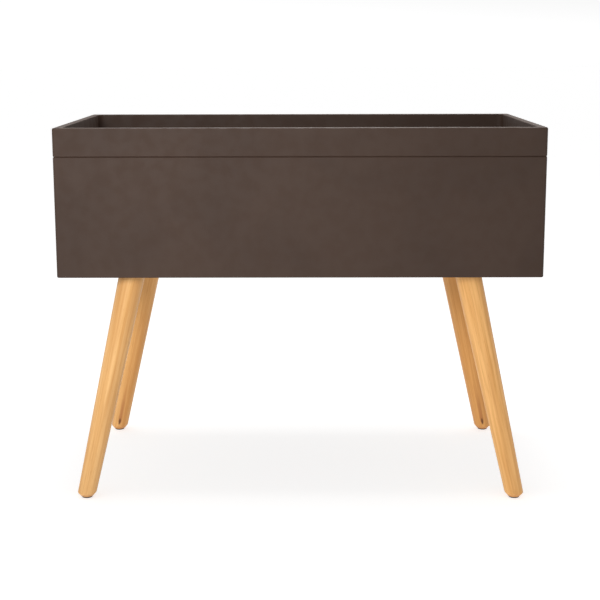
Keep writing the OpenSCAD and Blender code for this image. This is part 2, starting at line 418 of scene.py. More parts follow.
def boss_rows(radius: float, floor: float, tip: float, fillet: float, edge: float) -> Rows:
    """Gives the rows of a round boss with a fillet at its foot and a rounded end."""
    wide = radius + 2 * fillet
    return as_rows([(wide, floor, 0), (radius, floor, fillet), (radius, tip, edge), (0, tip, 0)])


def helix(
    start: np.ndarray, axes: np.ndarray, length: float, core: float, crest: float, pitches: np.ndarray
) -> np.ndarray:
    """Makes the rows of a threaded shank.

    The radius at a height and an angle is core + (crest - core) * ridge, where the ridge is a
    triangle wave of the turns so far less the angle's share of a turn, cut flat at its crest. It
    fades out at both ends, and the pitch changes at one place along the shank.

    Args:
        start: the middle of the lower end.
        axes: two directions across the shank and one along it, as rows.
        length: the shank's length.
        core: the radius at the thread's root.
        crest: the radius at its crest.
        pitches: the thread's pitch at the start and at the end.

    Returns:
        The grid of points as (rows, columns, 3).
    """
    rows_per_turn, columns = 8, 32
    change_at, change_over = 0.62, 0.02
    flank, runout = 2.6, 1.5 * MM
    along = np.linspace(0, length, int(length / pitches.min() * rows_per_turn))
    switch = np.clip((along / length - change_at) / change_over, 0, 1)
    pitch = pitches[0] + (pitches[1] - pitches[0]) * switch
    turns = np.concatenate([[0], np.cumsum(np.diff(along) / pitch[1:])])
    angle = whole_turn(columns)
    phase = (turns[:, None] - angle[None] / TAU) % 1
    ridge = np.clip(flank * (0.5 - np.abs(phase - 0.5)), 0, 1)
    fade = np.clip(np.minimum(along, length - along) / runout, 0, 1)
    radius = core + (crest - core) * ridge * fade[:, None]
    cross = directions(angle) @ axes[:2]
    rows = start + along[:, None, None] * axes[2] + radius[..., None] * cross[None]
    ends = [np.broadcast_to(start + s * axes[2], rows[:1].shape) for s in (0, length)]
    return np.concatenate([ends[0], rows, ends[1]])


# ---------------------------------------------------------------- finishes


class Graph:
    """A short way to write a node tree."""

    def __init__(self, tree: bpy.types.NodeTree) -> None:
        """Takes the tree that the nodes go into."""
        self.tree = tree

    def put(self, target: Socket, value: object) -> None:
        """Joins a socket to an input, or sets the input's own value.

        Args:
            target: the input.
            value: a socket, a value, or None to leave the input alone.
        """
        if isinstance(value, Socket):
            self.tree.links.new(value, target)
        elif value is not None:
            target.default_value = value

    def place(self, attribute: str = "") -> Socket:
        """Gives Object coordinates, or a point attribute of the piece by its name.

        Args:
            attribute: the attribute's name, or nothing for Object coordinates.

        Returns:
            The place as a vector socket.
        """
        if attribute:
            node = self.tree.nodes.new("ShaderNodeAttribute")
            node.attribute_name = attribute
            return node.outputs["Vector"]
        return self.tree.nodes.new("ShaderNodeTexCoord").outputs["Object"]

    def vector(self, operation: str, a: object, b: object) -> Socket:
        """Adds a vector step, whose result is its number where the step gives one.

        Args:
            operation: the step's name.
            a: the first vector.
            b: the second vector, or the factor of SCALE.

        Returns:
            The step's result.
        """
        node = self.tree.nodes.new("ShaderNodeVectorMath")
        node.operation = operation
        self.put(node.inputs[0], a)
        self.put(node.inputs[3] if operation == "SCALE" else node.inputs[1], b)
        return node.outputs["Value" if operation in ("LENGTH", "DISTANCE", "DOT_PRODUCT") else "Vector"]

    def math(self, operation: str, *values: object) -> Socket:
        """Adds a step on one to three numbers.

        Args:
            operation: the step's name.
            values: its numbers or sockets, in order.

        Returns:
            The step's result.
        """
        node = self.tree.nodes.new("ShaderNodeMath")
        node.operation = operation
        for socket, value in zip(node.inputs, values):
            self.put(socket, value)
        return node.outputs[0]

    def height(self, place: Socket) -> Socket:
        """Gives the Z part of a place."""
        return self.vector("DOT_PRODUCT", place, (0, 0, 1))

    def noise(
        self, place: object, scale: float, detail: float = 2, rough: float = 0.5, warp: float = 0
    ) -> Socket:
        """Adds smooth noise that averages about 0.5.

        Args:
            place: where the noise is read.
            scale: how many features it has to a metre.
            detail: how many finer layers it has.
            rough: how strong the finer layers are.
            warp: how far its place is distorted.

        Returns:
            The noise as a number.
        """
        node = self.tree.nodes.new("ShaderNodeTexNoise")
        self.put(node.inputs["Vector"], place)
        sockets = {"Scale": scale, "Detail": detail, "Roughness": rough, "Distortion": warp}
        for socket, value in sockets.items():
            node.inputs[socket].default_value = value
        return node.outputs["Fac"]

    def drawn(self, place: Socket, scales: Point, detail: float, rough: float = 0.5) -> Socket:
        """Adds noise that is drawn out by its own scale along each axis."""
        return self.noise(self.vector("MULTIPLY", place, scales), 1, detail, rough)

    def spans(self, value: object, low: float, high: float, to: Place = (0, 1)) -> Socket:
        """Carries a number smoothly from one span to another, clamped.

        Args:
            value: the number.
            low: where its span starts.
            high: where its span ends.
            to: the span that it is carried to.

        Returns:
            The carried number.
        """
        node = self.tree.nodes.new("ShaderNodeMapRange")
        node.interpolation_type = "SMOOTHSTEP"
        for socket, number in zip((1, 2, 3, 4), (low, high, *to)):
            node.inputs[socket].default_value = number
        self.put(node.inputs[0], value)
        return node.outputs[0]

    def mix(self, share: object, a: object, b: object, blend: str = "MIX") -> Socket:
        """Mixes two colours.

        Args:
            share: how much of the second there is, from 0 to 1.
            a: the first colour.
            b: the second colour.
            blend: how the second is laid over the first.

        Returns:
            The mixed colour.
        """
        node = self.tree.nodes.new("ShaderNodeMix")
        node.data_type = "RGBA"
        node.blend_type = blend
        self.put(node.inputs[0], share)
        self.put(node.inputs[6], (*a, 1) if isinstance(a, tuple) else a)
        self.put(node.inputs[7], (*b, 1) if isinstance(b, tuple) else b)
        return node.outputs[2]


class Paint(Graph):
    """A material's nodes, which end in one Principled shader."""

    def __init__(self, name: str) -> None:
        """Makes an empty material with a Principled shader joined to its output.

        Args:
            name: the material's name.
        """
        self.material = bpy.data.materials.new(name)
        self.material.use_nodes = True
        super().__init__(self.material.node_tree)
        self.tree.nodes.clear()
        self.shader = self.tree.nodes.new("ShaderNodeBsdfPrincipled")
        self.output = self.tree.nodes.new("ShaderNodeOutputMaterial")
        self.put(self.output.inputs["Surface"], self.shader.outputs["BSDF"])

    def bump(self, height: object, strength: float, distance: float) -> None:
        """Joins a height to the shader's normal.

        Args:
            height: the height, from 0 to 1.
            strength: how much of the bump shows.
            distance: the depth of a height of 1, in metres.
        """
        node = self.tree.nodes.new("ShaderNodeBump")
        node.inputs["Strength"].default_value = strength
        node.inputs["Distance"].default_value = distance
        self.put(node.inputs["Height"], height)
        self.put(self.shader.inputs["Normal"], node.outputs["Normal"])

    def finish(self, colour: object, roughness: object, **sockets: float) -> Material:
        """Sets the shader's colour, roughness and other sockets by name, and gives the material.

        Args:
            colour: the base colour.
            roughness: the roughness.
            sockets: other values, with an underscore for each space in a socket's name.

        Returns:
            The material.
        """
        self.put(self.shader.inputs["Base Color"], colour)
        self.put(self.shader.inputs["Roughness"], roughness)
        for name, value in sockets.items():
            self.shader.inputs[name.replace("_", " ")].default_value = value
        return self.material


@dataclass(frozen=True)
class MouldedFinish:
    """Matte dark-brown moulded resin with a faint cloudy mottle and a fine grainy skin."""

    light: Colour = (0.0463, 0.0250, 0.0159)
    dark: Colour = (0.0359, 0.0187, 0.0116)
    fleck: Colour = (0.067, 0.042, 0.030)
    cloud_scale: float = 9
    patch_scale: float = 34
    skin_scale: float = 1100

    def material(self, name: str) -> Material:
        """Mixes two browns by large and small clouds, with paler flecks and a pebbled bump.

        Args:
            name: the material's name.

        Returns:
            The material.
        """
        g = Paint(name)
        at = g.place()
        cloud = g.spans(g.noise(at, self.cloud_scale, 3, 0.55, 0.4), 0.32, 0.68)
        patch = g.spans(g.noise(at, self.patch_scale, 3, 0.6), 0.3, 0.7)
        brown = g.mix(g.math("MULTIPLY_ADD", cloud, 0.65, 0.5), self.dark, self.light)
        brown = g.mix(g.math("MULTIPLY", patch, 0.25), brown, self.light)
        skin = g.noise(at, self.skin_scale, 2, 0.6)
        brown = g.mix(g.spans(skin, 0.62, 0.8, (0, 0.35)), brown, self.fleck)
        g.bump(g.mix(0.3, skin, g.noise(at, self.patch_scale * 8, 2)), 0.12, 0.0003)
        rough = g.spans(g.noise(at, self.patch_scale * 2, 3), 0.3, 0.7, (0.56, 0.68))
        return g.finish(brown, rough, Specular_IOR_Level=0.3)


@dataclass(frozen=True)
class Knot:
    """A small knot in a leg: its place in the leg's own axes and the streak of colour above it."""

    place: Point
    width: float = 1.7 * MM
    height: float = 5 * MM
    streak_width: float = 2.8 * MM
    streak_length: float = 70 * MM


@dataclass(frozen=True)
class WoodFinish:
    """Honey-coloured turned hardwood under a clear matt lacquer, cut from one plank position."""

    pith: Point
    # The tint is painted light and shade: it makes one leg lighter or darker than another by the light that
    # falls on it, darker on the back legs, which stand in shade.
    tint: Colour = (1.0, 1.0, 1.0)
    pale: Colour = (0.80, 0.475, 0.19)
    honey: Colour = (0.65, 0.34, 0.11)
    amber: Colour = (0.48, 0.215, 0.056)
    knot_brown: Colour = (0.14, 0.048, 0.014)
    streak_red: Colour = (0.38, 0.135, 0.036)
    ring_width: float = 5.5 * MM
    # How high above the ground the darkening of the foot starts and ends; it is partly end grain and partly
    # painted shade under the foot's chamfer.
    end_grain_and_shade: Place = (2 * MM, 8 * MM)
    sway_scales: Point = (14, 14, 5)
    band_scales: Point = (60, 60, 3)
    streak_scales: Point = (230, 230, 5)
    fibre_scales: Point = (620, 620, 11)
    pore_scales: Point = (1500, 1500, 90)
    knots: tuple[Knot, ...] = ()

    def material(self, name: str) -> Material:
        """Cuts rings, bands, streaks, fibres and pores from the leg's own axes, then its knots.

        The rings are a wave of the distance from the pith line, whose place wanders slowly along the
        leg. Bands, streaks, fibres and pores are noise drawn out along the leg, and the last few
        millimetres above the ground are darkened, partly for the end grain of the cut foot and partly as
        painted shade under the foot's chamfer.

        Args:
            name: the material's name.

        Returns:
            The material.
        """
        g = Paint(name)
        at = g.place("grain")
        plank = g.vector("ADD", at, self.pith)
        sway = g.math("SUBTRACT", g.drawn(plank, self.sway_scales, 2), 0.5)
        across = g.vector("LENGTH", g.vector("MULTIPLY", plank, (1, 1, 0)), None)
        turns = g.math("ADD", across, g.math("MULTIPLY", sway, 0.02))
        turns = g.math("MULTIPLY", turns, TAU / self.ring_width)
        rings = g.math("MULTIPLY_ADD", g.math("SINE", turns), 0.5, 0.5)
        band = g.drawn(plank, self.band_scales, 2)
        streak = g.drawn(plank, self.streak_scales, 3, 0.6)
        fibre = g.drawn(plank, self.fibre_scales, 3, 0.65)
        pores = g.drawn(plank, self.pore_scales, 1)
        wood = g.mix(g.spans(streak, 0.26, 0.74), self.pale, self.honey)
        wood = g.mix(g.spans(rings, 0.55, 1.0, (0, 0.22)), wood, self.honey)
        wood = g.mix(g.spans(band, 0.5, 0.75, (0, 0.5)), wood, self.amber)
        wood = g.mix(g.spans(fibre, 0.5, 0.72, (0, 0.42)), wood, self.amber)
        wood = g.mix(g.spans(pores, 0.66, 0.74, (0, 0.4)), wood, self.amber)
        # Partly painted shade: the last few millimetres above the ground darken towards amber, for the end
        # grain of the cut foot and for the shade under its chamfer.
        wood = g.mix(g.spans(g.height(g.place()), *self.end_grain_and_shade, (0.75, 0)), wood, self.amber)
        # Painted light and shade: the tint makes the whole leg lighter or darker for the light it stands
        # in.
        wood = g.vector("MULTIPLY", wood, self.tint)
        for knot in self.knots:
            wood = self.with_knot(g, at, wood, knot)
        g.bump(g.mix(0.5, fibre, pores), 0.08, 0.0003)
        rough = g.spans(fibre, 0.3, 0.7, (0.42, 0.54))
        return g.finish(wood, rough, Specular_IOR_Level=0.3)

    def with_knot(self, g: Paint, at: Socket, wood: Socket, knot: Knot) -> Socket:
        """Darkens the wood inside a long ellipse at the knot, and in a thin streak above it.

        Args:
            g: the material's nodes.
            at: the place in the leg's own axes.
            wood: the colour so far.
            knot: the knot's place and size.

        Returns:
            The colour with the knot in it.
        """
        offset = g.vector("SUBTRACT", at, knot.place)
        waver = g.math("MULTIPLY", g.math("SUBTRACT", g.noise(at, 60, 2), 0.5), 0.9)
        oval = g.vector("MULTIPLY", offset, (1 / knot.width, 1 / knot.width, 1 / knot.height))
        core = g.spans(g.math("ADD", g.vector("LENGTH", oval, None), waver), 0.55, 1.25, (0.95, 0))
        thin = g.vector("MULTIPLY", offset, (1 / knot.streak_width, 1 / knot.streak_width, 0))
        line = g.spans(g.math("ADD", g.vector("LENGTH", thin, None), waver), 0.3, 1.3, (1, 0))
        height = g.height(offset)
        start = g.spans(height, -2 * MM, 1 * MM)
        fade = g.spans(height, 5 * MM, knot.streak_length, (0.75, 0))
        wood = g.mix(g.math("MULTIPLY", line, g.math("MULTIPLY", start, fade)), wood, self.streak_red)
        return g.mix(core, wood, self.knot_brown)


@dataclass(frozen=True)
class ZincFinish:
    """Zinc plating on steel, with a soft spangle and fine rolling marks."""

    pale: Colour = (0.50, 0.51, 0.53)
    grey: Colour = (0.34, 0.35, 0.37)
    spangle_scale: float = 240
    mark_scale: float = 900

    def material(self, name: str) -> Material:
        """Mixes two greys by a spangle and bumps it with rolling marks.

        Args:
            name: the material's name.

        Returns:
            The material.
        """
        g = Paint(name)
        at = g.place()
        spangle = g.noise(at, self.spangle_scale, 2, 0.4, 0.6)
        marks = g.noise(g.vector("MULTIPLY", at, (0.08, 1, 1)), self.mark_scale, 2)
        colour = g.mix(g.spans(spangle, 0.35, 0.65), self.grey, self.pale)
        g.bump(g.mix(0.5, marks, spangle), 0.1, 0.0002)
        return g.finish(colour, g.spans(marks, 0.3, 0.7, (0.28, 0.46)), Metallic=1.0)


@dataclass(frozen=True)
class PolymerFinish:
    """Black plastic or rubber with a speckled skin and slight dust."""

    dark: Colour
    dusty: Colour
    roughness: Place
    skin_scale: float = 900
    bump: float = 0.15

    def material(self, name: str) -> Material:
        """Mixes the two tones by soft clouds over a speckled bump.

        Args:
            name: the material's name.

        Returns:
            The material.
        """
        g = Paint(name)
        at = g.place()
        skin = g.noise(at, self.skin_scale, 3, 0.6)
        cloud = g.noise(at, self.skin_scale / 8, 3, 0.55)
        colour = g.mix(g.spans(cloud, 0.4, 0.75), self.dark, self.dusty)
        g.bump(skin, self.bump, 0.0002)
        return g.finish(colour, g.spans(cloud, 0.3, 0.7, self.roughness), Specular_IOR_Level=0.4)


# ---------------------------------------------------------------- placing pieces


def set_piece(
    name: str, surface: Surface, body: Body, finish: Material, node: str, smooth_to: float = 38
) -> bpy.types.Object:
    """Makes a finished piece from a surface: merged, turned outwards, shaded, dressed and riding.

    Args:
        name: the piece's name.
        surface: its points and faces.
        body: what it moves with.
        finish: its material.
        node: the node that it stands for.
        smooth_to: the sharpest edge that is still shaded smooth, in degrees.

    Returns:
        The piece.
    """
    mesh = bpy.data.meshes.new(name)
    mesh.from_pydata(surface.points.tolist(), [], surface.faces.tolist())
    shape = bmesh.new()
    shape.from_mesh(mesh)
    bmesh.ops.remove_doubles(shape, verts=shape.verts, dist=2 * TINY)
    bmesh.ops.dissolve_degenerate(shape, edges=shape.edges, dist=TINY)
    bmesh.ops.recalc_face_normals(shape, faces=shape.faces)
    shape.to_mesh(mesh)
    shape.free()
    mesh.polygons.foreach_set("use_smooth", np.ones(len(mesh.polygons), bool))
    mesh.set_sharp_from_angle(angle=math.radians(smooth_to))
    mesh.materials.append(finish)
    piece = bpy.data.objects.new(name, mesh)
    bpy.context.scene.collection.objects.link(piece)
    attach(piece, body.value)
    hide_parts(node)
    log.info("%s: %d faces, rides on %s, stands for %s", name, len(mesh.polygons), body.value, node)
    return piece


def box_of(node: str) -> tuple[np.ndarray, np.ndarray]:
    """Gives a node's lowest and highest corners as arrays."""
    low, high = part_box(node)
    return np.array(low), np.array(high)


# ---------------------------------------------------------------- the box


@dataclass
class Casing:
    """The outer box: a thin wall with a recessed, ribbed floor that carries the leg plates."""

    wall: float = 3 * MM
    corner: float = 4 * MM
    lower_edge: float = 0.8 * MM
    groove_edge: float = 1 * MM
    floor: float = 4 * MM
    floor_fillet: float = 2.5 * MM
    rib: float = 3 * MM
    rib_depth: float = 6 * MM
    rib_y: float = 36 * MM
    rib_gap: float = 8 * MM
    boss: float = 5 * MM
    boss_tip: float = 9.5 * MM
    plate_holes: float = 42 * MM
    drain: float = 10 * MM
    boss_half: float = 8 * MM
    drain_half: float = 13 * MM
    crease: float = 0.3 * MM
    low_crease: float = 0.4 * MM
    low: np.ndarray = field(default_factory=lambda: box_of("casing")[0])
    top: float = field(default_factory=lambda: float(box_of("liner")[1][2]) - 35 * MM)

    @property
    def half(self) -> Place:
        """Half of the outer length and depth."""
        return -float(self.low[0]), -float(self.low[1])

    @property
    def under(self) -> float:
        """The height of the floor's underside."""
        return float(box_of("leg_plate_front_left")[1][2])

    def shell(self) -> Surface:
        """Makes the wall as one profile carried round the box, from the floor's top to its underside.

        Returns:
            The open shell; the floor's two sheets close it.
        """
        bottom, floor_top = float(self.low[2]), self.under + self.floor
        start, fillet = self.wall + self.floor_fillet, 0.8 * self.floor_fillet
        outline = [
            (start, floor_top, 0),
            (self.wall, floor_top, fillet),
            (self.wall, self.top, self.crease),
            (self.groove_edge, self.top, self.crease),
            (0, self.top - self.groove_edge, 0.5 * MM),
            (0, bottom + self.lower_edge, 0.6 * MM),
            (self.lower_edge, bottom, self.low_crease),
            (self.wall, bottom, self.low_crease),
            (self.wall, self.under, fillet),
            (start, self.under, 0),
        ]
        profile = bend(outline)
        radii = np.clip(self.corner - profile[:, 0], 1 * MM, self.corner)
        radii[[0, -1]] = 0
        return Surface.grid(around_box(self.half, profile, radii, self.sheet().shares))

    def plate_centres(self) -> np.ndarray:
        """Gives the middle of each leg plate as (4, 2) points."""
        boxes = [box_of(f"leg_plate_{c.label}") for c in Corner]
        return np.array([(low + high)[:2] / 2 for low, high in boxes])

    def boss_places(self) -> list[Place]:
        """Gives the middle of each screw boss over the floor."""
        step = np.array([[x, y] for x in (-1, 1) for y in (-1, 1)]) * self.plate_holes / 2
        return [tuple(p) for p in (self.plate_centres()[:, None] + step[None]).reshape(-1, 2)]

    def plug_places(self) -> list[Place]:
        """Gives the middle of each drain hole."""
        middles = [sum(box_of(f"drain_plug_{s.label}")) / 2 for s in Side]
        return [(float(m[0]), 0.0) for m in middles]

    def sheet(self) -> Sheet:
        """Cuts the floor along the bosses' and the drain holes' rows and columns.

        Returns:
            The floor's sheet.
        """
        inset = self.wall + self.floor_fillet
        bands = [(p, self.boss_half) for p in self.boss_places()]
        bands += [(p, self.drain_half) for p in self.plug_places()]
        xs, ys = (lines(self.half[i] - inset, [(p[i], half) for p, half in bands]) for i in (0, 1))
        return Sheet(xs, ys)

    def floor_sheets(self) -> list[Surface]:
        """Makes the floor's top with its bosses, its underside, and the two drain holes.

        Returns:
            The two sheets, and a surface for each boss and hole.
        """
        sheet, top = self.sheet(), self.under + self.floor
        boss = boss_rows(self.boss, top, top + self.boss_tip, 1 * MM, 0.6 * MM)
        hole = hole_rows(self.drain, top, self.under, 0.4 * MM)
        bosses = [Feature(p, self.boss_half, boss) for p in self.boss_places()]
        holes = [Feature(p, self.drain_half, hole, True) for p in self.plug_places()]
        made = [sheet.plain(top, bosses + holes), sheet.plain(self.under, holes)]
        return made + [sheet.collar(f, top, self.under) for f in bosses + holes]

    def ribs(self) -> list[Surface]:
        """Makes the shallow ribs under the floor: two lengthwise and five crosswise.

        Returns:
            A closed bar for each rib.
        """
        low, high = self.under - self.rib_depth, self.under + 2 * BITE
        reach_x, reach_y = (half - self.wall + BITE for half in self.half)
        side = self.rib / 2
        plate_low = box_of("leg_plate_front_right")[0][0]
        pitch = (plate_low - self.rib_gap - side) / 2
        bars = [((-reach_x, y - side), (reach_x, y + side)) for y in (-self.rib_y, self.rib_y)]
        bars += [((i * pitch - side, -reach_y), (i * pitch + side, reach_y)) for i in range(-2, 3)]
        return [block(np.array([*start, low]), np.array([*end, high])) for start, end in bars]

    def build(self, finish: Material) -> None:
        """Builds and dresses the casing.

        Args:
            finish: the moulded finish.
        """
        shell = Surface.joined([self.shell(), *self.floor_sheets()])
        set_piece("casing_shell", shell, Body.STAND, finish, "casing")
        set_piece("casing_ribs", Surface.joined(self.ribs()), Body.STAND, finish, "casing")


@dataclass
class Liner:
    """The lift-out trough: an outside band, a flat rim, an inner wall and a drained floor."""

    band: float = 3 * MM
    band_height: float = 35 * MM
    rim_width: float = 10 * MM
    wall: float = 3 * MM
    floor: float = 3 * MM
    corner: float = 4 * MM
    inner_corner: float = 8 * MM
    rim_edge: float = 2 * MM
    rim_inner_edge: float = 1 * MM
    groove_edge: float = 1 * MM
    floor_fillet: float = 4 * MM
    drain: float = 4 * MM
    standoff: float = 7 * MM
    standoff_height: float = 11.5 * MM
    standoff_edge: float = 0.8 * MM
    feature_half: float = 9 * MM
    drain_places: tuple[int, int] = (116, 30)
    standoff_places: tuple[int, int] = (200, 60)
    locator: Place = (24 * MM, 20 * MM)
    locator_x: float = 150 * MM
    locator_drop: float = 2 * MM
    locator_reach: float = 3.5 * MM
    crease: float = 0.3 * MM
    inner_crease: float = 0.6 * MM
    high: np.ndarray = field(default_factory=lambda: box_of("liner")[1])

    @property
    def half(self) -> Place:
        """Half of the outer length and depth."""
        return float(self.high[0]), float(self.high[1])

    @property
    def foot(self) -> float:
        """The height of the standoffs' lower ends."""
        return float(box_of("liner")[0][2])

    @property
    def under(self) -> float:
        """The height of the floor's underside."""
        return self.foot + self.standoff_height

    @property
    def floor_inset(self) -> float:
        """How far the floor's flat part lies inside the outer size."""
        return self.rim_width + self.floor_fillet + 1 * MM

    def shell(self) -> Surface:
        """Makes band, rim and inner wall as one profile carried round, between the floor's two faces.

        Returns:
            The open shell; the floor's two sheets close it.
        """
        rim, groove = float(self.high[2]), float(self.high[2]) - self.band_height
        inner, outer, start = self.rim_width, self.rim_width - self.wall, self.floor_inset
        outline = [
            (start, self.under + self.floor, 0),
            (inner, self.under + self.floor, self.floor_fillet),
            (inner, rim, self.rim_inner_edge),
            (0, rim, self.rim_edge),
            (0, groove + self.groove_edge, 0.5 * MM),
            (self.groove_edge, groove, self.crease),
            (self.band, groove, self.crease),
            (self.band, rim - self.wall, self.inner_crease),
            (outer, rim - self.wall, self.inner_crease),
            (outer, self.under, self.floor_fillet),
            (start, self.under, 0),
        ]
        profile = bend(outline, 6)
        insets = [0, self.band, outer, inner, start]
        corners = [self.corner, 1 * MM, self.inner_corner + self.wall, self.inner_corner, 3 * MM]
        radii = np.interp(profile[:, 0], insets, corners)
        radii[[0, -1]] = 0
        return Surface.grid(around_box(self.half, profile, radii, self.sheet().shares))

    def grid_places(self, pitch: tuple[int, int], reach: int) -> list[Place]:
        """Gives a pattern of places that is even along the length and in two rows."""
        return [(i * pitch[0] * MM, s * pitch[1] * MM) for i in range(-reach, reach + 1) for s in (-1, 1)]

    def sheet(self) -> Sheet:
        """Cuts the floor along the drain holes' and the standoffs' rows and columns.

        Returns:
            The floor's sheet.
        """
        places = self.grid_places(self.drain_places, 2) + self.grid_places(self.standoff_places, 1)
        inset, half = self.floor_inset, self.feature_half
        xs, ys = (lines(self.half[i] - inset, [(p[i], half) for p in places]) for i in (0, 1))
        return Sheet(xs, ys)

    def floor_sheets(self) -> list[Surface]:
        """Makes the floor's top, its underside with the standoffs, and the drain holes.

        Returns:
            The two sheets, and a surface for each hole and standoff.
        """
        sheet, top = self.sheet(), self.under + self.floor
        hole = hole_rows(self.drain, top, self.under, 0.5 * MM)
        foot = boss_rows(self.standoff, self.under, self.foot, self.standoff_edge, self.standoff_edge)
        holes = [Feature(p, self.feature_half, hole, True) for p in self.grid_places(self.drain_places, 2)]
        feet = [Feature(p, self.feature_half, foot) for p in self.grid_places(self.standoff_places, 1)]
        made = [sheet.plain(top, holes), sheet.plain(self.under, holes + feet)]
        made += [sheet.collar(f, top, self.under) for f in holes]
        return made + [sheet.collar(f, self.under, top) for f in feet]

    def locators(self) -> list[Surface]:
        """Makes the blocks outside the inner wall that centre the liner in the casing.

        Returns:
            Six closed blocks: two on each long side and one at each end.
        """
        top = float(self.high[2]) - self.band_height - self.groove_edge - self.locator_drop
        length, height = self.locator
        bite = np.array([-BITE, self.locator_reach])
        across_x, across_y = (half - self.rim_width + self.wall + bite for half in self.half)
        made = []
        for side in (-1, 1):
            y = sorted(side * across_y)
            for x in (-self.locator_x, self.locator_x):
                low = np.array([x - length / 2, y[0], top - height])
                made.append(block(low, np.array([x + length / 2, y[1], top])))
            x = sorted(side * across_x)
            low = np.array([x[0], -length / 2, top - height])
            made.append(block(low, np.array([x[1], length / 2, top])))
        return made

    def build(self, finish: Material) -> None:
        """Builds and dresses the liner.

        Args:
            finish: the moulded finish.
        """
        shell = Surface.joined([self.shell(), *self.floor_sheets()])
        set_piece("liner_trough", shell, Body.LINER, finish, "liner")
        set_piece("liner_locators", Surface.joined(self.locators()), Body.LINER, finish, "liner")


# ---------------------------------------------------------------- the legs


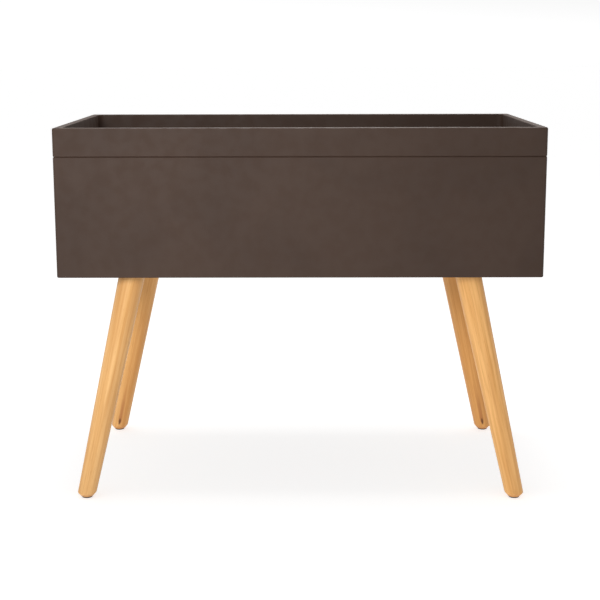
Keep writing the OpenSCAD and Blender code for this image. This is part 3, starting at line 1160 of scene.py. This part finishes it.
@dataclass
class Leg:
    """One turned leg with its plate, hanger bolt, screws and foot glide."""

    corner: Corner
    top_radius: float = 16.5 * MM
    ground_radius: float = 11.5 * MM
    top_edge: float = 1 * MM
    flat: float = 7.5 * MM
    foot_edge: float = 4.5 * MM
    foot_round: float = 1.2 * MM
    sole_round: float = 0.7 * MM
    bore_play: float = 0.05 * MM
    bore_spare: float = 1 * MM
    bolt: float = 4 * MM
    bolt_core: float = 3.2 * MM
    bolt_pitches: Place = (2.6 * MM, 1.25 * MM)
    bolt_in_leg: float = 32 * MM
    glide_top: float = 1.5 * MM
    pin: float = 2 * MM
    pin_length: float = 14 * MM
    plate_thickness: float = 2.5 * MM
    plate_corner: float = 6 * MM
    plate_holes: float = 42 * MM
    hole_half: float = 5 * MM
    hole_play: float = 0.25 * MM
    head_play: float = 0.1 * MM
    screw: float = 2 * MM
    screw_core: float = 1.55 * MM
    screw_length: float = 13 * MM
    screw_pitch: float = 1.4 * MM
    screw_point: float = 3.5 * MM
    screw_head: float = 3.8 * MM
    socket: float = 1.6 * MM
    socket_depth: float = 1.4 * MM
    columns: int = 96

    def __post_init__(self) -> None:
        """Works out the leg's axis from its glide, its bolt and its own height."""
        label = self.corner.label
        glide_low, glide_high = box_of(f"foot_glide_{label}")
        self.foot = (glide_low + glide_high)[:2] / 2
        self.glide = float(glide_high[0] - glide_low[0]) / 2
        start = np.array([*self.foot, self.glide_top + self.foot_edge])
        bolt = sum(box_of(f"hanger_bolt_{label}")) / 2
        along = (bolt - start) / np.linalg.norm(bolt - start)
        across = np.cross([0.0, 1.0, 0.0], along)
        across /= np.linalg.norm(across)
        self.axes = np.array([across, np.cross(along, across), along])
        self.ground = start - along * start[2] / along[2]
        tilt = math.acos(along[2])
        peak = float(box_of(f"leg_{label}")[1][2])
        self.seat = (peak - (self.top_radius - self.top_edge) * math.sin(tilt)) / along[2]

    def axis_ring(self, radius: float, along: float) -> np.ndarray:
        """Points on a circle about the leg's axis, one for each column."""
        cross = directions(whole_turn(self.columns)) @ self.axes[:2]
        return self.ground + along * self.axes[2] + radius * cross

    def foot_cut(self) -> tuple[np.ndarray, np.ndarray]:
        """Finds where each column of the leg meets the upright cone that trims its foot.

        A column is a straight line, start + share * run. The cone is the points whose distance from the
        upright line over the foot is flat + slope * height. Squaring both sides gives a quadratic in
        the share, whose smaller root at or above the foot is the cut.

        Returns:
            The line's start and its run to the cut, each as (columns, 3).
        """
        low, high = self.axis_ring(self.ground_radius, 0), self.axis_ring(self.top_radius, self.seat)
        run = high - low
        slope = (self.ground_radius - self.flat) / self.foot_edge
        from_foot = low[:, :2] - self.foot
        radius = self.flat + slope * (low[:, 2] - self.glide_top)
        a = (run[:, :2] ** 2).sum(axis=1) - (slope * run[:, 2]) ** 2
        b = 2 * ((from_foot * run[:, :2]).sum(axis=1) - radius * slope * run[:, 2])
        c = (from_foot**2).sum(axis=1) - radius**2
        root = np.sqrt(np.maximum(b**2 - 4 * a * c, 0))
        shares = np.stack([(-b - root) / (2 * a), (-b + root) / (2 * a)])
        cone_height = low[None, :, 2] + shares * run[None, :, 2] - self.glide_top
        shares = np.where(cone_height > 0, shares, np.inf)
        return low, run * shares.min(axis=0)[:, None]

    def wood(self) -> Surface:
        """Makes the leg from the bottom of its bolt bore, over its top and down its taper to its foot.

        Where the taper meets the foot's cone, and the cone the sole, the corner is swapped for the
        curve corner + reach * (up * (1 - t)^2 + down * t^2). The rows end at the glide's pin bore.

        Returns:
            The closed surface.
        """
        bore, bore_end = self.bolt + self.bore_play, self.seat - self.bolt_in_leg - self.bore_spare
        lip, crease, margin = 0.3 * MM, 0.4 * MM, 1 * MM
        taper_rows, round_rows, sole_rows = 16, 7, 5
        taper = (self.top_radius - self.ground_radius) / self.seat
        shoulder = self.seat - self.top_edge
        top = bend(
            [
                (0, bore_end, 0),
                (bore, bore_end, lip),
                (bore, self.seat, lip),
                (self.top_radius - self.top_edge, self.seat, crease),
                (self.top_radius - taper * self.top_edge, shoulder, crease),
                (self.ground_radius + taper * self.seat / 2, self.seat / 2, 0),
            ]
        )
        rows = [self.axis_ring(r, s) for r, s in top[:-1]]
        low, run = self.foot_cut()
        edge, upper, foot = low + run, rows[-1], tuple(self.foot)
        up = (upper - edge) / np.linalg.norm(upper - edge, axis=1, keepdims=True)
        angle = angles_about(edge, foot)
        flat = ring(foot, self.flat, self.glide_top, angle)
        down = (flat - edge) / np.linalg.norm(flat - edge, axis=1, keepdims=True)
        end = edge + up * 2 * self.foot_round
        rows += [upper + (end - upper) * share for share in np.linspace(0, 1, taper_rows)[1:]]
        for t in np.linspace(0, 1, round_rows):
            rows.append(edge + self.foot_round * (up * (1 - t) ** 2 + down * t**2))
        rows.append(flat - down * margin)
        for t in np.linspace(0, 1, sole_rows):
            inward = ring(foot, self.flat - self.sole_round * t**2, self.glide_top, angle)
            rows.append(inward - down * self.sole_round * (1 - t) ** 2)
        sole, pin = self.flat - 1.1 * margin, self.pin + self.bore_play
        depth = self.pin_length + self.bore_spare
        for radius, height in ((sole, 0), (pin, 0), (pin, depth), (0, depth)):
            rows.append(ring(foot, radius, self.glide_top + height, angle))
        return Surface.grid(np.stack(rows))

    def mark_grain(self, piece: bpy.types.Object) -> None:
        """Stores each point's place in the leg's own axes, which the grain follows.

        Args:
            piece: the leg.
        """
        mesh = piece.data
        points = np.empty(len(mesh.vertices) * 3, np.float32)
        mesh.vertices.foreach_get("co", points)
        local = (points.reshape(-1, 3) - self.ground) @ self.axes.T
        grain = mesh.attributes.new("grain", "FLOAT_VECTOR", "POINT")
        grain.data.foreach_set("vector", local.astype(np.float32).ravel())

    def plate(self) -> Surface:
        """Makes the pressed plate: a flat square with four countersunk holes and a slanted boss.

        Returns:
            The closed surface.
        """
        low, high = box_of(f"leg_plate_{self.corner.label}")
        centre = (low + high)[:2] / 2
        half, top = float(high[0] - low[0]) / 2, float(high[2])
        under = top - self.plate_thickness
        reach, inset, fold = self.plate_holes / 2, self.plate_corner / 2, 0.6 * MM
        bands = [(-reach, self.hole_half), (reach, self.hole_half)]
        xs = lines(half - inset, bands, steps=6, spacing=4 * MM)
        sheet = Sheet(xs + centre[0], xs + centre[1])
        places = [(centre[0] + x * reach, centre[1] + y * reach) for x in (-1, 1) for y in (-1, 1)]
        holes = [Feature(p, self.hole_half, self.countersink(top, under), True) for p in places]
        boss = Feature(tuple(centre), reach - self.hole_half)
        parts = [sheet.plain(height, [*holes, boss]) for height in (top, under)]
        parts += [sheet.collar(f, top, under) for f in holes]
        parts.append(self.slanted_boss(sheet, boss, top, under))
        outline = [(inset, top, 0), (0, top, fold), (0, under, fold), (inset, under, 0)]
        edge = bend(outline, steps=4, hold=0.2 * MM)
        radii = np.maximum(self.plate_corner - edge[:, 0] * 2, 0)
        share = xs / xs[-1]
        rim = around_box((half, half), edge, radii, (share, share))
        rim[..., :2] += centre
        parts.append(Surface.grid(rim))
        return Surface.joined(parts)

    def countersink(self, top: float, under: float) -> Rows:
        """Gives the rows of a plate hole: a sharp upper lip and a countersink from below.

        Args:
            top: the height of the plate's upper face.
            under: the height of its lower face.

        Returns:
            The rows from the upper face to the lower.
        """
        hole, head = self.screw + self.hole_play, self.screw_head + self.head_play
        margin, lip = 0.6 * MM, 0.15 * MM
        outline = [
            (hole + margin, top, 0),
            (hole, top, lip),
            (hole, under + (head - hole), 0.1 * MM),
            (head, under, lip),
            (head + margin, under, 0),
        ]
        return as_rows(outline, steps=3)

    def slanted_boss(self, sheet: Sheet, boss: Feature, top: float, under: float) -> Surface:
        """Makes the plate's middle: a stub whose lower end is square to the leg, with the bolt's bore.

        Each column keeps one direction round the leg's axis. Where a ring has to lie in a level plane,
        it is slid along the axis until it does.

        Args:
            sheet: the plate's cells.
            boss: the square that the boss takes up.
            top: the height of the plate's upper face.
            under: the height of its lower face.

        Returns:
            The surface between the plate's two faces.
        """
        square = sheet.edge(boss)
        cross = directions(angles_about(square, boss.place)) @ self.axes[:2]
        seat = self.ground + self.seat * self.axes[2]

        def level(radius: float, height: float) -> np.ndarray:
            """A ring about the leg's axis, slid along it to one height."""
            points = seat + radius * cross
            return points + ((height - points[:, 2]) / self.axes[2][2])[:, None] * self.axes[2]

        outer, bore = self.top_radius - self.top_edge, self.bolt + self.bore_play
        bevel, foot_drop, foot_reach = 0.2 * MM, 0.4 * MM, 0.5 * MM
        rows = [
            at_height(square, under),
            level(outer + foot_reach, under),
            level(outer, under - foot_drop),
            seat + outer * cross + bevel * self.axes[2],
            seat + (outer - bevel) * cross,
            seat + bore * cross,
            level(bore, top),
            at_height(square, top),
        ]
        return Surface.grid(np.stack(rows))

    def hanger_bolt(self) -> Surface:
        """Makes the bolt: a coarse wood thread in the leg and a fine thread through the plate.

        Returns:
            The closed surface.
        """
        low, high = box_of(f"hanger_bolt_{self.corner.label}")
        level = self.bolt * math.sqrt(1 - self.axes[2][2] ** 2)
        length = (float(high[2] - low[2]) - 2 * level) / self.axes[2][2]
        start = self.ground + (self.seat - self.bolt_in_leg) * self.axes[2]
        pitches = np.array(self.bolt_pitches)
        return Surface.grid(helix(start, self.axes, length, self.bolt_core, self.bolt, pitches))

    def plate_screw(self, place: Place, base: float) -> Surface:
        """Makes a countersunk screw with a six-sided socket and a thread.

        The socket's wall is a ring whose radius is apothem / cos of the angle to the nearest side's
        middle, which is a hexagon.

        Args:
            place: the screw's middle.
            base: the height of its head's face.

        Returns:
            The closed surface.
        """
        columns, thread_rows = 48, 84
        blunt, flank, lip, runout = 0.12, 3, 0.1 * MM, 0.3 * MM
        angle = whole_turn(columns)
        apothem = self.socket * math.cos(math.pi / 6)
        to_side = (angle % (TAU / 6)) - TAU / 12
        hexagon = (apothem / np.cos(to_side) / self.socket)[:, None]
        unit = at_height(directions(angle), 0)
        middle, up = np.array([*place, base]), np.array([0.0, 0.0, 1.0])
        cone = self.screw_head - self.screw
        heads = [
            (0, self.socket_depth, hexagon),
            (self.socket, self.socket_depth, hexagon),
            (self.socket, lip, hexagon),
            (self.socket + lip, 0, hexagon),
            (self.screw_head - 0.5 * MM, 0, 1),
            (self.screw_head - lip, 0, 1),
            (self.screw_head, 0.15 * MM, 1),
            (self.screw, cone, 1),
        ]
        rows = [middle + height * up + radius * shape * unit for radius, height, shape in heads]
        along = np.linspace(cone + runout, self.screw_length, thread_rows)
        phase = ((along[:, None] - cone) / self.screw_pitch - angle[None] / TAU) % 1
        ridge = np.clip(1 - flank * np.abs(phase - 0.5), 0, 1)
        tip = np.clip((self.screw_length - along) / self.screw_point, 0, 1)[:, None]
        radius = self.screw_core + (self.screw - self.screw_core) * ridge
        radius *= blunt + (1 - blunt) * tip
        rows += list(middle + along[:, None, None] * up + radius[..., None] * unit[None])
        rows.append(middle + self.screw_length * up + 0 * unit)
        return Surface.grid(np.stack(rows))

    def foot_glide(self) -> Surface:
        """Makes the nail-in glide: a shallow disc with a soft edge and a barbed pin.

        Returns:
            The closed surface.
        """
        top, tip = self.glide_top, self.glide_top + self.pin_length
        first_barb, barb_pitch, barb_height, barb_depth = 2 * MM, 2.2 * MM, 2 * MM, 0.35 * MM
        outline = [(0, 0, 0), (self.glide, 0, 0.5 * MM)]
        outline += [(self.glide, top, 0.15 * MM), (self.pin, top, 0.2 * MM)]
        for i in range(5):
            low = top + first_barb + barb_pitch * i
            outline += [(self.pin, low, 0.05 * MM), (self.pin - barb_depth, low + 0.1 * MM, 0.05 * MM)]
            outline += [(self.pin - 0.1 * MM, low + barb_height, 0)]
        outline += [(self.pin - 0.3 * MM, tip - 1.2 * MM, 0.3 * MM), (0.8 * MM, tip, 0.2 * MM), (0, tip, 0)]
        return revolve(bend(outline, steps=4, hold=0.1 * MM), tuple(self.foot), columns=48)

    def screws(self) -> Surface:
        """Makes the four screws of the plate.

        Returns:
            The four closed surfaces in one.
        """
        low, high = box_of(f"plate_screws_{self.corner.label}")
        edge = self.screw_head
        xs, ys = (low[0] + edge, high[0] - edge), (low[1] + edge, high[1] - edge)
        return Surface.joined([self.plate_screw((x, y), float(low[2])) for x in xs for y in ys])

    def build(self, wood: Material, zinc: Material, steel: Material, black: Material) -> None:
        """Builds and dresses the leg and its fixings.

        Args:
            wood: the leg's own finish.
            zinc: the plate's finish.
            steel: the finish of bolt and screws.
            black: the glide's finish.
        """
        label = self.corner.label
        leg = set_piece(f"turned_leg_{label}", self.wood(), Body.STAND, wood, f"leg_{label}")
        self.mark_grain(leg)
        for name, surface, metal in (
            ("leg_plate", self.plate(), zinc),
            ("hanger_bolt", self.hanger_bolt(), steel),
            ("plate_screws", self.screws(), steel),
        ):
            set_piece(f"zinc_{name}_{label}", surface, Body.STAND, metal, f"{name}_{label}")
        glide = self.foot_glide()
        set_piece(f"black_glide_{label}", glide, Body.STAND, black, f"foot_glide_{label}")


# ---------------------------------------------------------------- the plugs


@dataclass
class DrainPlug:
    """A rubber plug pushed into the casing floor from below, with a finger tab."""

    side: Side
    body: float = 9.9 * MM
    body_height: float = 4 * MM
    flange_height: float = 3 * MM
    edge: float = 0.8 * MM
    tab: Place = (20 * MM, 4 * MM)
    tab_edge: float = 1.2 * MM

    def surface(self) -> Surface:
        """Makes the stopper and flange as one turned profile, and the tab below it.

        Returns:
            The two closed surfaces in one.
        """
        low, high = box_of(f"drain_plug_{self.side.label}")
        centre = tuple((low + high)[:2] / 2)
        flange, top = float(high[0] - low[0]) / 2, float(high[2])
        neck = top - self.body_height
        under, dish = neck - self.flange_height, top - self.edge
        outline = [
            (0, under, 0),
            (flange, under, self.tab_edge),
            (flange, neck, self.edge),
            (self.body, neck, 0.3 * MM),
            (self.body, top, self.edge),
            (self.body - 3 * MM, top, 0.5 * MM),
            (self.body - 4 * MM, dish, 0.5 * MM),
            (0, dish, 0),
        ]
        stopper = revolve(bend(outline, steps=6, hold=0.2 * MM), centre)
        half = np.array(self.tab) / 2
        tab_low = np.array([centre[0] - half[0], centre[1] - half[1], float(low[2])])
        tab_high = np.array([centre[0] + half[0], centre[1] + half[1], under + 0.6 * MM])
        return Surface.joined([stopper, block(tab_low, tab_high, self.tab_edge)])

    def build(self, rubber: Material) -> None:
        """Builds and dresses the plug.

        Args:
            rubber: the plug's finish.
        """
        label = self.side.label
        body = Body(f"drain_plug_{label}")
        set_piece(f"rubber_plug_{label}", self.surface(), body, rubber, f"drain_plug_{label}")


# ---------------------------------------------------------------- studio


@dataclass(frozen=True)
class Lamp:
    """A soft square lamp that points at the middle of the box, or a little aside from it.

    Its power is in watts, its spread is how wide its beam is in degrees, and without `on_floor` it
    lights everything but the floor.
    """

    name: str
    place: Point
    size: float
    power: float
    spread: float = 180
    aside: Point = (0, 0, 0)
    on_floor: bool = False

    def hang(self) -> bpy.types.Object:
        """Makes the lamp and turns it to the box.

        Returns:
            The lamp.
        """
        data = bpy.data.lights.new(self.name, "AREA")
        data.shape = "SQUARE"
        data.size = self.size
        data.energy = self.power
        data.spread = math.radians(self.spread)
        lamp = bpy.data.objects.new(self.name, data)
        lamp.location = self.place
        middle = (box_of("casing")[0] + box_of("liner")[1]) / 2
        aim = Vector(middle) + Vector(self.aside) - lamp.location
        lamp.rotation_euler = aim.to_track_quat("-Z", "Y").to_euler()
        lamp.visible_camera = False
        bpy.context.scene.collection.objects.link(lamp)
        return lamp


@dataclass(frozen=True)
class Studio:
    """The white floor, the lights and the camera."""

    floor_size: float = 60.0
    floor_white: float = 0.64
    floor_glow: float = 0.70
    floor_roughness: float = 0.9
    sky: float = 0.42
    horizon: float = 0.68
    horizon_power: float = 5.0
    sideways: float = 0.22
    camera_place: Point = (0.0053, -1.6389, 0.5689)
    camera_pitch: float = 10.06
    camera_yaw: float = 0.378
    camera_roll: float = -0.14
    lens: float = 73.84
    shift: Place = (0.0064, -0.062)
    clip: Place = (0.01, 200)
    lamps: tuple[Lamp, ...] = (
        Lamp("overhead_lamp", place=(0, 0.05, 2.4), size=0.9, power=17, on_floor=True),
        Lamp("key_lamp", place=(-0.5, -1.5, 0.9), size=0.5, power=1.3, spread=48, aside=(-0.13, 0, -0.1)),
        Lamp("rim_lamp", place=(0.1, 0.9, 2.0), size=0.8, power=34),
        Lamp("fill_lamp", place=(2.2, 1.6, 1.8), size=1.6, power=3),
    )

    def floor(self) -> bpy.types.Object:
        """Lays a pale floor with a glow of its own, which can be seen through from below only.

        Returns:
            The floor.
        """
        half = self.floor_size / 2
        corners = np.array([[-half, -half, 0], [half, -half, 0], [half, half, 0], [-half, half, 0]])
        mesh = bpy.data.meshes.new("studio_floor")
        mesh.from_pydata(corners.tolist(), [], [(0, 1, 2, 3)])
        floor = bpy.data.objects.new("studio_floor", mesh)
        bpy.context.scene.collection.objects.link(floor)
        g = Paint("studio_white")
        white = (self.floor_white, self.floor_white, self.floor_white, 1)
        material = g.finish(white, self.floor_roughness, Specular_IOR_Level=0.1)
        g.shader.inputs["Emission Color"].default_value = (1, 1, 1, 1)
        g.shader.inputs["Emission Strength"].default_value = self.floor_glow
        clear = g.tree.nodes.new("ShaderNodeBsdfTransparent")
        side = g.tree.nodes.new("ShaderNodeNewGeometry")
        mixed = g.tree.nodes.new("ShaderNodeMixShader")
        g.put(mixed.inputs[0], side.outputs["Backfacing"])
        g.put(mixed.inputs[1], g.shader.outputs["BSDF"])
        g.put(mixed.inputs[2], clear.outputs[0])
        g.put(g.output.inputs["Surface"], mixed.outputs[0])
        mesh.materials.append(material)
        return floor

    def sky_light(self) -> None:
        """Makes a white sky that is brightest level with the floor and on the left.

        Its strength is sky + horizon * (1 - height)^horizon_power - sideways * x, where height and x
        are how far a direction of length 1 points up or down and to the right.
        """
        world = bpy.data.worlds.new("studio_sky")
        world.use_nodes = True
        g = Graph(world.node_tree)
        parts = g.tree.nodes.new("ShaderNodeSeparateXYZ")
        g.put(parts.inputs[0], g.tree.nodes.new("ShaderNodeTexCoord").outputs["Generated"])
        level = g.math("SUBTRACT", 1.0, g.math("ABSOLUTE", parts.outputs["Z"]))
        band = g.math("MULTIPLY", g.math("POWER", level, self.horizon_power), self.horizon)
        side = g.math("MULTIPLY", parts.outputs["X"], -self.sideways)
        background = g.tree.nodes["Background"]
        g.put(background.inputs["Strength"], g.math("ADD", g.math("ADD", band, side), self.sky))
        g.put(background.inputs["Color"], (1, 1, 1, 1))
        bpy.context.scene.world = world

    def lights(self, floor: bpy.types.Object) -> None:
        """Hangs the lamps, and leaves the floor out of those that spare it.

        Args:
            floor: the floor.
        """
        spared = bpy.data.collections.new("spared_floor")
        spared.objects.link(floor)
        spared.collection_objects[0].light_linking.link_state = "EXCLUDE"
        for lamp in self.lamps:
            hung = lamp.hang()
            if not lamp.on_floor:
                hung.light_linking.receiver_collection = spared

    def camera(self) -> None:
        """Sets the camera in front of the planter, a little above its rim, looking slightly down."""
        data = bpy.data.cameras.new("front_camera")
        data.lens = self.lens
        data.sensor_width = SENSOR_WIDTH
        data.shift_x, data.shift_y = self.shift
        data.clip_start, data.clip_end = self.clip
        camera = bpy.data.objects.new("front_camera", data)
        camera.location = self.camera_place
        aim = Euler((math.radians(90 - self.camera_pitch), 0, math.radians(self.camera_yaw))).to_matrix()
        camera.rotation_euler = (aim @ Matrix.Rotation(math.radians(self.camera_roll), 3, "Z")).to_euler()
        bpy.context.scene.collection.objects.link(camera)
        bpy.context.scene.camera = camera

    def build(self) -> None:
        """Sets up the whole studio."""
        bpy.context.scene.view_settings.view_transform = "Standard"
        self.camera()
        self.sky_light()
        self.lights(self.floor())
        log.info("studio: floor, sky, %d lamps and camera", len(self.lamps))


def leg_finishes() -> dict[Corner, WoodFinish]:
    """Gives each leg its own place in the plank, a tint of painted light and shade that makes each leg
    lighter or darker by the light it stands in (darker on the back legs, which stand in shade), and the
    back legs a knot near the foot.

    Returns:
        A finish for each corner.
    """
    knot = Knot(place=(0.0, -12 * MM, 16 * MM))
    return {
        # The tints are painted light and shade: the back legs are darkened for the shade they stand in, the
        # front-left leg for the box's shadow on its top, and the front-right leg is lightened.
        Corner.FRONT_LEFT: WoodFinish(pith=(0.047, 0.021, 0.0), tint=(0.95, 0.94, 0.94)),
        Corner.FRONT_RIGHT: WoodFinish(pith=(-0.038, 0.034, 1.7), tint=(1.05, 0.99, 0.9)),
        Corner.BACK_LEFT: WoodFinish(pith=(0.029, -0.044, 3.1), tint=(0.97, 0.9, 0.8), knots=(knot,)),
        Corner.BACK_RIGHT: WoodFinish(pith=(-0.052, -0.018, 4.6), tint=(0.9, 0.77, 0.61), knots=(knot,)),
    }


def main() -> None:
    """Builds the studio, the box, the legs and the plugs."""
    logging.basicConfig(level=logging.INFO, format="%(name)s: %(message)s")
    Studio().build()
    brown = MouldedFinish().material("moulded_brown")
    zinc = ZincFinish().material("bright_zinc")
    steel = ZincFinish(pale=(0.36, 0.35, 0.33), grey=(0.22, 0.215, 0.20)).material("dull_zinc")
    plastic = PolymerFinish(dark=(0.016, 0.016, 0.016), dusty=(0.03, 0.029, 0.027), roughness=(0.4, 0.55))
    rubber = PolymerFinish(dark=(0.018, 0.0175, 0.017), dusty=(0.036, 0.034, 0.032), roughness=(0.7, 0.85))
    black, soft_black = plastic.material("glide_plastic"), rubber.material("plug_rubber_skin")
    Casing().build(brown)
    Liner().build(brown)
    for corner, finish in leg_finishes().items():
        Leg(corner).build(finish.material(f"turned_wood_{corner.label}"), zinc, steel, black)
    for side in Side:
        DrainPlug(side).build(soft_black)


if __name__ == "__main__":
    main()
